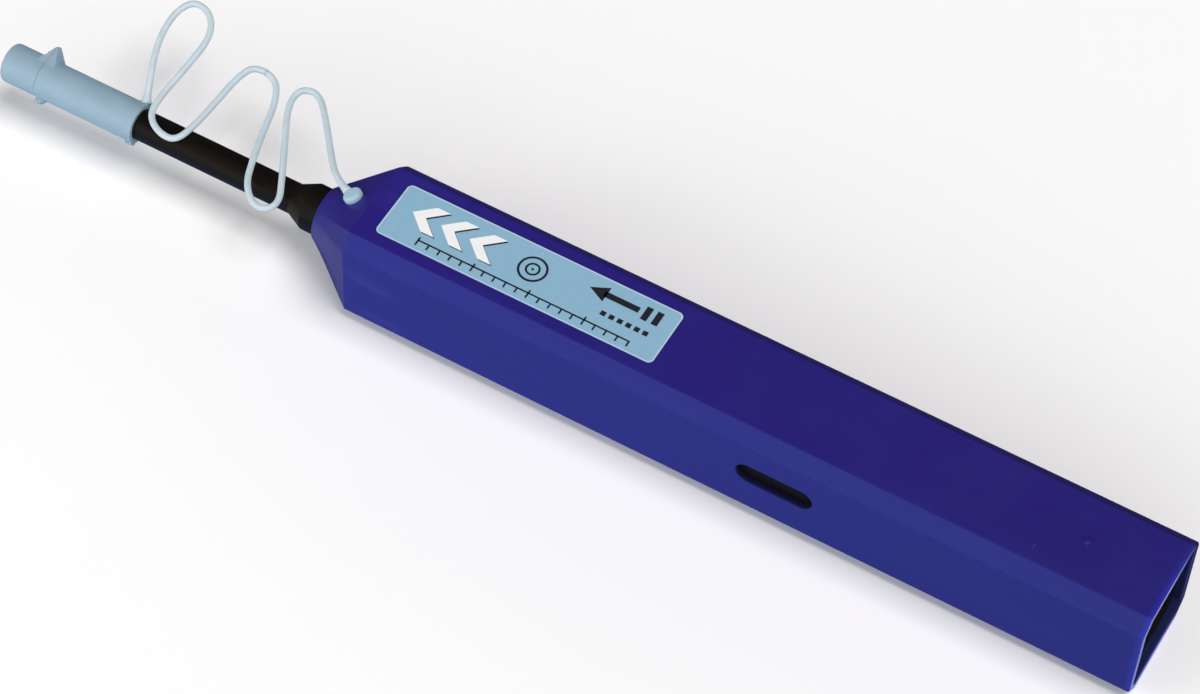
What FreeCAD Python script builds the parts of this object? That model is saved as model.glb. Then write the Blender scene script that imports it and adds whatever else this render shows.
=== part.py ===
"""Push-action cleaning pen for fibre-optic connectors, in millimetres.

The pen lies on one flat of its square shell, with its nozzle towards -X. Every body is drawn
about the pen's axis and lifted by the axis height. A nozzle unit slides into the shell against
a spring: its rack turns the take-up reel, and a cam pin turns the cleaning core by half a turn.
"""
import FreeCAD, Part
import Sketcher
import math
import os
import re

DIMENSIONS = {
    "axis_height": 10.0,        # pen axis above the face it lies on
    # shell
    "shell_half": 10.0,         # half the width across flats
    "shell_chamfer": 2.45,
    "shell_wall": 1.4,
    "shell_rear": 105.3,
    "fold_front": -34.0,        # where the taper starts
    "ring_front": -43.4,
    "ring_radius": 4.6,
    "ring_land": 1.6,
    "shell_bore": 4.12,
    "rim_round": 0.45,
    "slot_centre": 43.7,
    "slot_rise": 0.9,           # the slots' middle above the pen's axis
    "slot_length": 13.4,
    "slot_height": 4.3,
    "gate_place": 90.9,
    "gate_radius": 0.55,
    "gate_height": 0.2,
    # label
    "label_front": -30.8,
    "label_rear": 19.2,
    "label_half": 5.5,
    "label_round": 1.0,
    "label_thickness": 0.1,
    # tether and its plug
    "plug_place": -37.9,
    "plug_shank": 0.9,
    "plug_head": 1.6,
    "plug_head_height": 1.1,
    "plug_dome": 0.5,
    "plug_barb": 1.15,
    "plug_barb_depth": 1.25,
    "plug_depth": 2.2,
    "tether_radius": 0.55,
    # nozzle tube
    "tube_front": -90.0,
    "tube_radius": 2.64,
    "tube_bore": 1.75,
    "flare_front": -49.1,
    "collar_front": -46.15,
    "collar_radius": 4.05,
    "flange_front": -33.95,
    "spigot_rear": -29.0,
    "spigot_radius": 3.2,
    # tip sleeve
    "sleeve_front": -95.8,
    "sleeve_rear": -86.0,
    "sleeve_radius": 1.7,
    "sleeve_bore": 1.1,
    "small_edge": 0.3,
    # carriage with its rack
    "flange_half": 8.3,
    "flange_chamfer": 1.6,
    "flange_rear": -31.95,
    "barrel_radius": 4.4,
    "barrel_bore": 2.7,
    "barrel_rear": -17.0,
    "retainer_front": -19.0,
    "retainer_bore": 1.75,
    "arm_bottom": -7.0,
    "arm_near": 4.3,
    "arm_far": 6.9,
    "arm_rear": 67.4,
    # gear and rack
    "gear_module": 0.75,
    "gear_teeth": 14,
    "gear_addendum": 0.6,
    "gear_dedendum": 0.82,
    "gear_backlash": 0.12,
    "gear_pressure": 25.0,
    "gear_near": 4.4,
    "gear_far": 6.8,
    "gear_hub": 2.4,
    "hub_near": 3.9,
    # cleaning core
    "core_front": -85.5,
    "core_radius": 1.45,
    "core_rear": 8.0,
    "core_bore": 0.75,
    "core_collar": 2.4,
    "core_collar_front": -28.8,
    "core_collar_rear": -27.6,
    "cam_front": -15.0,
    "cam_radius": 1.6,
    "cam_bottom": 1.1,
    "cam_width": 1.35,
    "cam_start": -10.6,
    "cam_length": 12.2,
    "cam_pitch": 20.0,
    "cam_pin_place": 0.5,
    "cam_pin_radius": 0.45,
    "cam_pin_bottom": 1.2,
    "tip_nose": -96.05,
    "tip_half": 0.5,
    "tip_neck": -94.6,
    "tip_stem": 0.95,
    "tip_nose_radius": 0.62,
    "tip_rear": -82.0,
    "tip_round": 0.4,
    "tape_gap": 0.01,
    "tape_thickness": 0.12,
    "tape_half": 0.34,
    "tape_bend": 0.2,
    # springs
    "tip_spring_radius": 2.05,
    "tip_spring_wire": 0.2,
    "tip_spring_turns": 6,
    "return_spring_radius": 5.3,
    "return_spring_wire": 0.35,
    "return_spring_turns": 8,
    "spring_gap": 0.05,
    # reel frame and its cover
    "frame_half": 8.3,
    "frame_chamfer": 1.7,
    "frame_wall": 1.2,
    "frame_front": -2.0,
    "frame_rear": 103.8,
    "cavity_front": 3.0,
    "cavity_rear": 100.0,
    "frame_bore": 1.9,
    "tab_length": 13.0,
    "tab_height": 3.9,
    "tab_rise": 0.7,
    "panel_half": 5.6,
    "panel_depth": 0.8,
    # reels, rollers and pins
    "takeup_place": 62.0,
    "supply_place": 82.0,
    "pin_radius": 1.0,
    "pin_end": 8.1,
    "reel_bore": 1.06,
    "reel_hub": 2.6,
    "reel_flange": 6.6,
    "reel_half": 3.6,
    "reel_inside": 2.8,
    "ratchet_radius": 4.6,
    "ratchet_root": 3.9,
    "ratchet_width": 1.6,
    "ratchet_teeth": 12,
    "takeup_wound": 3.6,
    "supply_wound": 5.4,
    "wound_half": 2.7,
    "roller_place": 46.0,
    "roller_height": 4.0,
    "roller_radius": 1.4,
    "roller_bore": 0.65,
    "roller_half": 3.4,
    "roller_flange": 2.0,
    "roller_pin_radius": 0.6,
    "boss_radius": 2.0,
    "small_boss": 1.2,
    "boss_gap": 0.3,
    "pawl_place": 49.6,
    "pawl_foot": 5.7,
    "pawl_tip": 2.75,
    "pawl_gap": 0.4,
    "pawl_width": 1.1,
    "brake_half": 8.0,
    "brake_foot": 5.5,
    "brake_crown": 1.5,
    "brake_bow": 0.25,
    "brake_thickness": 0.12,
    # guide cap and lid
    "cap_rim": -79.0,
    "cap_radius": 3.4,
    "cap_bore": 2.7,
    "cap_step": -90.4,
    "cap_chamber": 1.9,
    "cap_socket": -96.6,
    "socket_radius": 0.66,
    "socket_mouth": -98.4,
    "mouth_radius": 1.3,
    "cap_seam": -97.85,
    "cap_spigot": 2.4,
    "cap_end": -99.2,
    "lid_bore": 2.6,
    "lid_inside": -103.6,
    "lid_front": -104.7,
    "lid_gap": 0.05,
    "lid_round": 0.6,
    "cap_turn": -50.0,          # the ear's side, turned from the top about the pen's axis
    "ear_place": -97.65,        # the folded ear's ridge
    "ear_gap": 0.03,
    "ear_top": 5.6,
    "ear_flat": 0.1,
    "ear_crest": 0.6,           # half the ear's width at its ridge and at its root
    "ear_half": 2.3,
    "ear_root": 2.6,
    "ear_foot": 2.45,
    "ear_reach": 1.75,
    "brow_reach": 0.9,
    "brow_top": 4.3,
    "brow_foot": 3.9,
    "strap_reach": 1.5,
    "strap_top": 3.55,
    "strap_end": 1.7,
    "ledge_flat": 0.9,
    "ledge_length": 2.0,
    "ledge_top": 4.3,
    "ledge_foot": 3.2,
    "ledge_half": 0.7,
    "lug_foot": 3.0,
    "lug_top": 3.82,
    "lug_half": 0.8,
    "lug_length": 1.2,
    "foot_top": 3.8,
}

RACK_TEETH = 8

# Bosses about the pins: place along X, height above the axis, radius and the end's place across Y.
FRAME_BOSSES = [
    ("supply_place", "0", "boss_radius", "reel_half + boss_gap"),
    ("roller_place", "roller_height", "small_boss", "roller_half + boss_gap"),
]
COVER_BOSSES = [
    ("takeup_place", "0", "boss_radius", "-reel_half - ratchet_width - boss_gap"),
    ("supply_place", "0", "boss_radius", "-reel_half - boss_gap"),
    ("roller_place", "roller_height", "small_boss", "-roller_half - boss_gap"),
]
PIN_HOLES = [
    ("takeup_place", "0", "pin_radius"),
    ("supply_place", "0", "pin_radius"),
    ("roller_place", "roller_height", "roller_pin_radius"),
]
CUTTING = [
    "PartDesign::Pocket", "PartDesign::Groove",
    "PartDesign::SubtractiveLoft", "PartDesign::SubtractiveHelix",
]

# The tether's points, from the cap's rim to the plug.
TETHER_ROUTE = [
    (-79.7, 3.1, 12.6), (-80.5, 5.3, 14.1), (-82.7, 10.1, 15.2),
    (-83.8, 14.6, 16.2), (-83.7, 18.7, 17.0), (-82.2, 21.6, 17.2),
    (-78.7, 21.0, 17.0), (-76.3, 17.4, 16.2), (-76.8, 10.8, 15.0),
    (-77.6, 4.0, 13.9), (-77.1, 0.0, 13.6), (-74.0, -2.2, 13.5),
    (-70.6, -2.3, 13.5), (-69.7, 1.9, 13.5), (-69.2, 7.6, 13.9),
    (-68.7, 13.2, 14.6), (-67.4, 16.6, 15.0), (-62.9, 16.2, 14.8),
    (-60.7, 12.4, 14.2), (-59.6, 7.3, 13.7), (-57.9, 1.2, 13.5),
    (-56.0, -4.1, 13.3), (-52.1, -7.0, 12.9), (-49.3, -4.6, 13.1),
    (-51.9, 0.5, 13.5), (-55.3, 6.7, 14.0), (-58.6, 12.8, 14.6),
    (-58.4, 16.4, 15.0), (-55.1, 17.0, 15.2), (-50.8, 12.2, 15.4),
    (-46.7, 7.0, 16.0), (-42.8, 2.3, 17.1), (-39.2, 0.5, 17.7),
]

doc = FreeCAD.newDocument("cleaning_pen")
sheet = doc.addObject("Spreadsheet::Sheet", "dims")


def fill_sheet():
    for row, (alias, size) in enumerate(DIMENSIONS.items(), start=1):
        sheet.set(f"A{row}", alias)
        sheet.set(f"B{row}", str(size))
        sheet.setAlias(f"B{row}", alias)
    doc.recompute()


def size_of(alias):
    return float(sheet.get(alias))


def bind(item, field, formula):
    """Bind a property to a formula of sheet aliases, each of which has an underscore."""
    item.setExpression(field, re.sub(r"[a-z]+(_[a-z]+)+", r"dims.\g<0>", formula))


def origin_part(body, role):
    return next(part for part in body.Origin.OriginFeatures if part.Role == role)


def new_body(label):
    body = doc.addObject("PartDesign::Body", label)
    body.Label = label
    bind(body, "Placement.Base.z", "axis_height")
    return body


def new_sketch(body, plane, place):
    """A sketch across X on YZ_Plane, across Y on XZ_Plane or across Z on XY_Plane."""
    sketch = body.newObject("Sketcher::SketchObject", f"{body.Name}_sketch")
    sketch.AttachmentSupport = [(origin_part(body, plane), "")]
    sketch.MapMode = "FlatFace"
    sign = "-" if plane == "XZ_Plane" else ""
    bind(sketch, "AttachmentOffset.Base.z", f"{sign}({place})")
    return sketch


def outline(body, plane, points, place="0"):
    """A closed outline of straight edges, each corner held by two formulas."""
    sketch = new_sketch(body, plane, place)
    count = len(points)
    spread = [FreeCAD.Vector(index + 1, (index + 1) ** 2, 0) for index in range(count)]
    edges = [Part.LineSegment(spread[index], spread[(index + 1) % count]) for index in range(count)]
    sketch.addGeometry(edges, False)
    rules = [Sketcher.Constraint("Coincident", i, 2, (i + 1) % count, 1) for i in range(count)]
    for index in range(count):
        rules.append(Sketcher.Constraint("DistanceX", -1, 1, index, 1, 1.0))
        rules.append(Sketcher.Constraint("DistanceY", -1, 1, index, 1, 1.0))
    sketch.addConstraint(rules)
    for index, (across, up) in enumerate(points):
        bind(sketch, f"Constraints[{count + 2 * index}]", across)
        bind(sketch, f"Constraints[{count + 2 * index + 1}]", up)
    return sketch


def circle(body, plane, radius, place="0", centre=("0", "0")):
    sketch = new_sketch(body, plane, place)
    sketch.addGeometry(Part.Circle(FreeCAD.Vector(1, 1, 0), FreeCAD.Vector(0, 0, 1), 1.0), False)
    sketch.addConstraint([
        Sketcher.Constraint("DistanceX", -1, 1, 0, 3, 1.0),
        Sketcher.Constraint("DistanceY", -1, 1, 0, 3, 1.0),
        Sketcher.Constraint("Radius", 0, 1.0),
    ])
    bind(sketch, "Constraints[0]", centre[0])
    bind(sketch, "Constraints[1]", centre[1])
    bind(sketch, "Constraints[2]", radius)
    return sketch


def box_outline(body, plane, low, high, place="0"):
    corners = [low, (high[0], low[1]), high, (low[0], high[1])]
    return outline(body, plane, corners, place)


def octagon(body, half, chamfer, place):
    """A square across X with chamfered corners."""
    flat = f"({half} - {chamfer})"
    corners = [
        (f"-{half}", f"-{flat}"), (f"-{flat}", f"-{half}"),
        (flat, f"-{half}"), (half, f"-{flat}"),
        (half, flat), (flat, half),
        (f"-{flat}", half), (f"-{half}", flat),
    ]
    return outline(body, "YZ_Plane", corners, place)


def ring(body, radius, corners, place):
    """A circle across X in eight arcs that end in line with an octagon sketch's corners."""
    doc.recompute()
    angles = [math.atan2(edge.StartPoint.y, edge.StartPoint.x) for edge in corners.Geometry]
    sketch = new_sketch(body, "YZ_Plane", place)
    base = Part.Circle(FreeCAD.Vector(0, 0, 0), FreeCAD.Vector(0, 0, 1), size_of(radius))
    for index, start in enumerate(angles):
        stop = angles[(index + 1) % 8]
        if stop < start:
            stop += 2 * math.pi
        sketch.addGeometry(Part.ArcOfCircle(base, start, stop), False)
    rules = [Sketcher.Constraint("Coincident", i, 2, (i + 1) % 8, 1) for i in range(8)]
    rules.append(Sketcher.Constraint("Coincident", 0, 3, -1, 1))
    rules += [Sketcher.Constraint("Coincident", i, 3, 0, 3) for i in range(1, 8)]
    rules.append(Sketcher.Constraint("Radius", 0, size_of(radius)))
    sketch.addConstraint(rules)
    bind(sketch, f"Constraints[{len(rules) - 1}]", radius)
    return sketch


def stadium(body, length, height, place):
    """A long outline with round ends, across Y, at the middle of the side slots."""
    sketch = new_sketch(body, "XZ_Plane", place)
    radius = size_of(height) / 2
    reach = size_of(length) / 2 - radius
    middle = size_of("slot_centre")
    up = FreeCAD.Vector(0, 0, 1)
    rise = size_of("slot_rise")
    rear = FreeCAD.Vector(middle + reach, rise, 0)
    front = FreeCAD.Vector(middle - reach, rise, 0)
    edge = FreeCAD.Vector(0, radius, 0)
    sketch.addGeometry([
        Part.ArcOfCircle(Part.Circle(rear, up, radius), -math.pi / 2, math.pi / 2),
        Part.LineSegment(rear + edge, front + edge),
        Part.ArcOfCircle(Part.Circle(front, up, radius), math.pi / 2, 3 * math.pi / 2),
        Part.LineSegment(front - edge, rear - edge),
    ], False)
    rules = [Sketcher.Constraint("Tangent", i, 2, (i + 1) % 4, 1) for i in range(4)]
    rules.append(Sketcher.Constraint("Horizontal", 1))
    rules.append(Sketcher.Constraint("DistanceY", -1, 1, 0, 3, 1.0))
    rules.append(Sketcher.Constraint("DistanceX", -1, 1, 0, 3, middle + reach))
    rules.append(Sketcher.Constraint("DistanceX", -1, 1, 2, 3, middle - reach))
    rules.append(Sketcher.Constraint("Radius", 0, radius))
    sketch.addConstraint(rules)
    bind(sketch, "Constraints[5]", "slot_rise")
    bind(sketch, "Constraints[6]", f"slot_centre + ({length} - {height}) / 2")
    bind(sketch, "Constraints[7]", f"slot_centre - ({length} - {height}) / 2")
    bind(sketch, "Constraints[8]", f"{height} / 2")
    return sketch


def pad(body, sketch, length):
    """Raise a sketch: towards +X from YZ_Plane, -Y from XZ_Plane, +Z from XY_Plane."""
    feature = body.newObject("PartDesign::Pad", f"{body.Name}_pad")
    feature.Profile = sketch
    bind(feature, "Length", length)
    return feature


def pad_both(body, sketch, length):
    """Raise a sketch by half a length to each side."""
    feature = pad(body, sketch, length)
    feature.SideType = "Symmetric"
    return feature


def pocket(body, sketch, length):
    """Sink a sketch: towards -X from YZ_Plane, +Y from XZ_Plane, -Z from XY_Plane."""
    feature = body.newObject("PartDesign::Pocket", f"{body.Name}_pocket")
    feature.Profile = sketch
    bind(feature, "Length", length)
    return feature


def turned(label, points, axis="X_Axis", plane="XY_Plane"):
    """A body of revolution from an outline of (along, radius) corners."""
    body = new_body(label)
    revolve(body, outline(body, plane, points), axis)
    return body


def revolve(body, sketch, axis="X_Axis", kind="Revolution"):
    feature = body.newObject(f"PartDesign::{kind}", f"{body.Name}_turn")
    feature.Profile = sketch
    feature.ReferenceAxis = (origin_part(body, axis), [""])
    feature.Angle = 360
    return feature


def loft(body, kind, first, last):
    feature = body.newObject(f"PartDesign::{kind}Loft", f"{body.Name}_loft")
    feature.Profile = first
    feature.Sections = [last]
    feature.Ruled = True
    return feature


def round_edges(body, radius, chosen):
    """Round the edges of the body's present shape for which chosen(edge) is true."""
    doc.recompute()
    tip = body.Tip
    names = [f"Edge{i}" for i, edge in enumerate(tip.Shape.Edges, start=1) if chosen(edge)]
    feature = body.newObject("PartDesign::Fillet", f"{body.Name}_round")
    feature.Base = (tip, names)
    bind(feature, "Radius", radius)
    return feature


def ring_pattern(body, feature, axis, count):
    pattern = body.newObject("PartDesign::PolarPattern", f"{body.Name}_pattern")
    pattern.Originals = [feature]
    pattern.Axis = (origin_part(body, axis), [""])
    pattern.Angle = 360
    bind(pattern, "Occurrences", count)
    body.Tip = pattern
    return pattern


def row_pattern(body, feature, axis, count, length):
    pattern = body.newObject("PartDesign::LinearPattern", f"{body.Name}_row")
    pattern.Originals = [feature]
    pattern.Direction = (origin_part(body, axis), [""])
    bind(pattern, "Occurrences", count)
    bind(pattern, "Length", length)
    body.Tip = pattern
    return pattern


def helix(body, kind, sketch, axis, pitch, length):
    feature = body.newObject(f"PartDesign::{kind}Helix", f"{body.Name}_helix")
    feature.Profile = sketch
    feature.ReferenceAxis = (origin_part(body, axis), [""])
    feature.Mode = 0
    bind(feature, "Pitch", pitch)
    bind(feature, "Height", length)
    return feature


def at_height(edge, axis, place):
    """True when the whole edge lies at one place along an axis."""
    box = edge.BoundBox
    low, high = {"x": (box.XMin, box.XMax), "z": (box.ZMin, box.ZMax)}[axis]
    return abs(low - place) < 1e-4 and abs(high - place) < 1e-4


# ---------------------------------------------------------------- shell, label and tether

def make_outer_shell():
    """Moulded sleeve: chamfered square section, tapered nose, round bore, open rear end."""
    body = new_body("outer_shell")
    corners = octagon(body, "shell_half", "shell_chamfer", "fold_front")
    pad(body, corners, "shell_rear - fold_front")
    fold = octagon(body, "shell_half", "shell_chamfer", "fold_front")
    loft(body, "Additive", fold, ring(body, "ring_radius", fold, "ring_front"))
    gate = circle(body, "XY_Plane", "gate_radius", "shell_half", ("gate_place", "0"))
    pad(body, gate, "gate_height")

    half = "(shell_half - shell_wall)"
    chamfer = "(shell_chamfer - shell_wall * (2 - sqrt(2)))"
    room = octagon(body, half, chamfer, "shell_rear")
    pocket(body, room, "shell_rear - fold_front")
    inside = octagon(body, half, chamfer, "fold_front")
    loft(body, "Subtractive", inside, ring(body, "shell_bore", inside, "ring_front + ring_land"))
    bore = circle(body, "YZ_Plane", "shell_bore", "fold_front")
    pocket(body, bore, "fold_front - ring_front")

    slots = stadium(body, "slot_length", "slot_height", "-shell_half")
    pocket(body, slots, "2 * shell_half")
    plug_hole = circle(body, "XY_Plane", "plug_shank")
    tilt_to_taper(plug_hole, "AttachmentOffset")
    pocket(body, plug_hole, "plug_depth")
    rear = size_of("shell_rear")
    round_edges(body, "rim_round", lambda edge: at_height(edge, "x", rear))
    return body


def taper_angle():
    """How steeply the taper's top face rises towards the rear, in degrees."""
    rise = size_of("shell_half") - size_of("ring_radius")
    return math.degrees(math.atan2(rise, size_of("fold_front") - size_of("ring_front")))


def tilt_to_taper(item, field):
    """Stand an item's Z axis square on the taper's top face, at the plug's place."""
    tilt = FreeCAD.Rotation(FreeCAD.Vector(0, 1, 0), -taper_angle())
    setattr(item, field, FreeCAD.Placement(FreeCAD.Vector(0, 0, 0), tilt))
    bind(item, f"{field}.Base.x", "plug_place")
    rise = "(shell_half - ring_radius) * (plug_place - ring_front) / (fold_front - ring_front)"
    lift = "" if field == "AttachmentOffset" else "axis_height + "
    bind(item, f"{field}.Base.z", f"{lift}ring_radius + {rise}")


def make_label():
    """Adhesive label with round corners, on the top face."""
    body = new_body("label")
    low = ("label_front", "-label_half")
    high = ("label_rear", "label_half")
    pad(body, box_outline(body, "XY_Plane", low, high, "shell_half"), "label_thickness")
    thickness = size_of("label_thickness")
    round_edges(body, "label_round", lambda edge: abs(edge.BoundBox.ZLength - thickness) < 1e-6)


def make_tether_plug():
    """Round head with a barbed shank that is pushed through the shell's nose."""
    points = [
        ("0", "-plug_depth"), ("plug_shank", "-plug_depth"),
        ("plug_barb", "-plug_barb_depth - plug_head_height / 5"), ("plug_barb", "-plug_barb_depth"),
        ("plug_shank", "-plug_barb_depth"), ("plug_shank", "0"),
        ("plug_head", "0"), ("plug_head", "plug_head_height"), ("0", "plug_head_height"),
    ]
    body = turned("tether_plug", points, "Z_Axis", "XZ_Plane")
    top = size_of("plug_head_height")
    round_edges(body, "plug_dome", lambda edge: at_height(edge, "z", top))
    tilt_to_taper(body, "Placement")


def make_tether():
    """Moulded cord in three long meanders, from the cap's rim to the plug's head."""
    points = [FreeCAD.Vector(*point) for point in TETHER_ROUTE]
    radius = size_of("tether_radius")
    edges = []
    start = points[0]
    for before, corner, after in zip(points, points[1:], points[2:]):
        come = (corner - before).normalize()
        go = (after - corner).normalize()
        half_turn = come.getAngle(go) / 2
        shorter = min((corner - before).Length, (after - corner).Length)
        reach = 0.45 * shorter
        bend = reach / math.tan(half_turn)
        first = corner - come * reach
        last = corner + go * reach
        inward = (go - come).normalize()
        middle = corner + inward * (bend / math.cos(half_turn) - bend)
        edges.append(Part.LineSegment(start, first).toShape())
        edges.append(Part.Arc(first, middle, last).toShape())
        print(f"tether bend radius {bend:.2f} mm, turn {math.degrees(2 * half_turn):.0f} degrees")
        start = last
    edges.append(Part.LineSegment(start, points[-1]).toShape())
    path = Part.Wire(edges)
    section = Part.Wire([Part.Circle(points[0], points[1] - points[0], radius).toShape()])
    tube = doc.addObject("Part::Feature", "tether")
    tube.Shape = path.makePipeShell([section], True, True)
    expected = math.pi * radius ** 2 * path.Length
    print(f"tether length {path.Length:.1f} mm, volume {tube.Shape.Volume:.1f} of {expected:.1f} mm3")


# ---------------------------------------------------------------- nozzle unit

def make_nozzle_tube():
    """Long round nozzle that flares into the collar which slides in the shell's bore."""
    turned("nozzle_tube", [
        ("tube_front", "sleeve_radius"), ("tube_front", "tube_radius - small_edge"),
        ("tube_front + small_edge", "tube_radius"), ("flare_front", "tube_radius"),
        ("collar_front", "collar_radius"), ("flange_front", "collar_radius"),
        ("flange_front", "spigot_radius"), ("spigot_rear", "spigot_radius"),
        ("spigot_rear", "tube_bore"), ("sleeve_rear", "tube_bore"),
        ("sleeve_rear", "sleeve_radius"),
    ])


def make_tip_sleeve():
    """Thin sleeve that enters a connector adapter."""
    turned("tip_sleeve", [
        ("sleeve_front", "sleeve_bore"), ("sleeve_front", "sleeve_radius - small_edge"),
        ("sleeve_front + small_edge", "sleeve_radius"), ("sleeve_rear", "sleeve_radius"),
        ("sleeve_rear", "sleeve_bore"),
    ])


def make_feed_carriage():
    """Square flange and barrel behind the nozzle, with a long arm that carries the rack."""
    body = new_body("feed_carriage")
    flange = octagon(body, "flange_half", "flange_chamfer", "flange_front")
    pad(body, flange, "flange_rear - flange_front")
    revolve(body, outline(body, "XY_Plane", [
        ("flange_front", "0"), ("flange_front", "barrel_radius"),
        ("barrel_rear", "barrel_radius"), ("barrel_rear", "0"),
    ]))
    groove = outline(body, "XY_Plane", [
        ("flange_front", "0"), ("flange_front", "spigot_radius"),
        ("spigot_rear", "spigot_radius"), ("spigot_rear", "barrel_bore"),
        ("barrel_rear", "barrel_bore"), ("barrel_rear", "0"),
    ])
    revolve(body, groove, kind="Groove")

    pitch = "(gear_module * pi)"
    pitch_line = "-gear_module * gear_teeth / 2"
    arm = box_outline(
        body, "YZ_Plane", ("arm_near", "arm_bottom"),
        ("arm_far", f"{pitch_line} - gear_dedendum"), "flange_front",
    )
    pad(body, arm, "arm_rear - flange_front")
    slope = "tan(gear_pressure * 1deg)"
    first = f"takeup_place - {RACK_TEETH - 2.5} * {pitch}"
    foot = f"({pitch} / 4 + gear_dedendum * {slope})"
    top = f"({pitch} / 4 - gear_addendum * {slope})"
    tooth = outline(body, "XZ_Plane", [
        (f"{first} - {foot}", f"{pitch_line} - gear_dedendum"),
        (f"{first} + {foot}", f"{pitch_line} - gear_dedendum"),
        (f"{first} + {top}", f"{pitch_line} + gear_addendum"),
        (f"{first} - {top}", f"{pitch_line} + gear_addendum"),
    ], "arm_far")
    first_tooth = pad(body, tooth, "arm_far - arm_near")
    row_pattern(body, first_tooth, "X_Axis", str(RACK_TEETH), f"{RACK_TEETH - 1} * {pitch}")


def make_retainer_ring():
    """Ring pressed into the carriage's barrel behind the tip spring."""
    turned("retainer_ring", [
        ("retainer_front", "retainer_bore"), ("retainer_front", "barrel_bore"),
        ("barrel_rear", "barrel_bore"), ("barrel_rear", "retainer_bore"),
    ])


def make_spring(label, radius, wire, turns, front, rear):
    """Coil spring about the pen's axis, from one place along it to another."""
    body = new_body(label)
    section = circle(body, "XZ_Plane", wire, "0", (front, radius))
    length = f"({rear} - ({front}))"
    helix(body, "Additive", section, "X_Axis", f"{length} / {turns}", length)


def make_springs():
    make_spring(
        "tip_spring", "tip_spring_radius", "tip_spring_wire", "tip_spring_turns",
        "core_collar_rear + tip_spring_wire + spring_gap",
        "retainer_front - tip_spring_wire - spring_gap",
    )
    make_spring(
        "return_spring", "return_spring_radius", "return_spring_wire", "return_spring_turns",
        "flange_rear + return_spring_wire + spring_gap",
        "frame_front - return_spring_wire - spring_gap",
    )


# ---------------------------------------------------------------- cleaning core

def make_core_shaft():
    """Hollow shaft with a stop collar in front and a helical cam groove behind."""
    body = turned("core_shaft", [
        ("core_front", "core_bore"), ("core_front", "core_radius"),
        ("core_collar_front", "core_radius"), ("core_collar_front", "core_collar"),
        ("core_collar_rear", "core_collar"), ("core_collar_rear", "core_radius"),
        ("cam_front", "core_radius"), ("cam_front", "cam_radius"),
        ("core_rear", "cam_radius"), ("core_rear", "core_bore"),
    ])
    cutter = box_outline(
        body, "YZ_Plane", ("-cam_width / 2", "cam_bottom"),
        ("cam_width / 2", "cam_radius + cam_width"), "cam_start",
    )
    helix(body, "Subtractive", cutter, "X_Axis", "cam_pitch", "cam_length")
    turn = (size_of("cam_start") - size_of("cam_pin_place")) / size_of("cam_pitch") * 360
    body.Placement.Rotation = FreeCAD.Rotation(FreeCAD.Vector(1, 0, 0), turn)


def make_core_tip():
    """Flat-sided tip over which the tape runs."""
    body = turned("core_tip", [
        ("tip_nose", "0"), ("tip_nose", "tip_nose_radius"), ("tip_neck", "tip_nose_radius"),
        ("tip_neck", "tip_stem"), ("core_front", "tip_stem"), ("core_front", "core_bore"),
        ("tip_rear", "core_bore"), ("tip_rear", "0"),
    ])
    above = box_outline(
        body, "XY_Plane", ("tip_nose", "-tip_stem"), ("tip_rear", "tip_stem"), "tip_stem",
    )
    pocket(body, above, "tip_stem - tip_half")
    below = box_outline(
        body, "XY_Plane", ("tip_nose", "-tip_stem"), ("tip_rear", "tip_stem"), "-tip_half",
    )
    pocket(body, below, "tip_stem - tip_half")
    nose = size_of("tip_nose")
    half = size_of("tip_half")
    round_edges(
        body, "tip_round",
        lambda edge: at_height(edge, "x", nose) and edge.BoundBox.ZLength < half / 10,
    )


def make_core_tape():
    """The tape's run through the core: out to the tip, round it and back."""
    body = new_body("core_tape")
    inner = "tip_half + tape_gap"
    outer = "tip_half + tape_gap + tape_thickness"
    bent = "tip_nose - tape_gap"
    pad_both(body, outline(body, "XZ_Plane", [
        ("core_rear", inner), ("tip_nose + tape_bend", inner),
        (bent, "tip_half - tape_bend"), (bent, "tape_bend - tip_half"),
        ("tip_nose + tape_bend", f"-({inner})"), ("core_rear", f"-({inner})"),
        ("core_rear", f"-({outer})"), ("tip_nose + tape_bend", f"-({outer})"),
        (f"{bent} - tape_thickness", "tape_bend - tip_half - tape_thickness / 2"),
        (f"{bent} - tape_thickness", "tip_half - tape_bend + tape_thickness / 2"),
        ("tip_nose + tape_bend", outer), ("core_rear", outer),
    ]), "2 * tape_half")


# ---------------------------------------------------------------- reel frame

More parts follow.
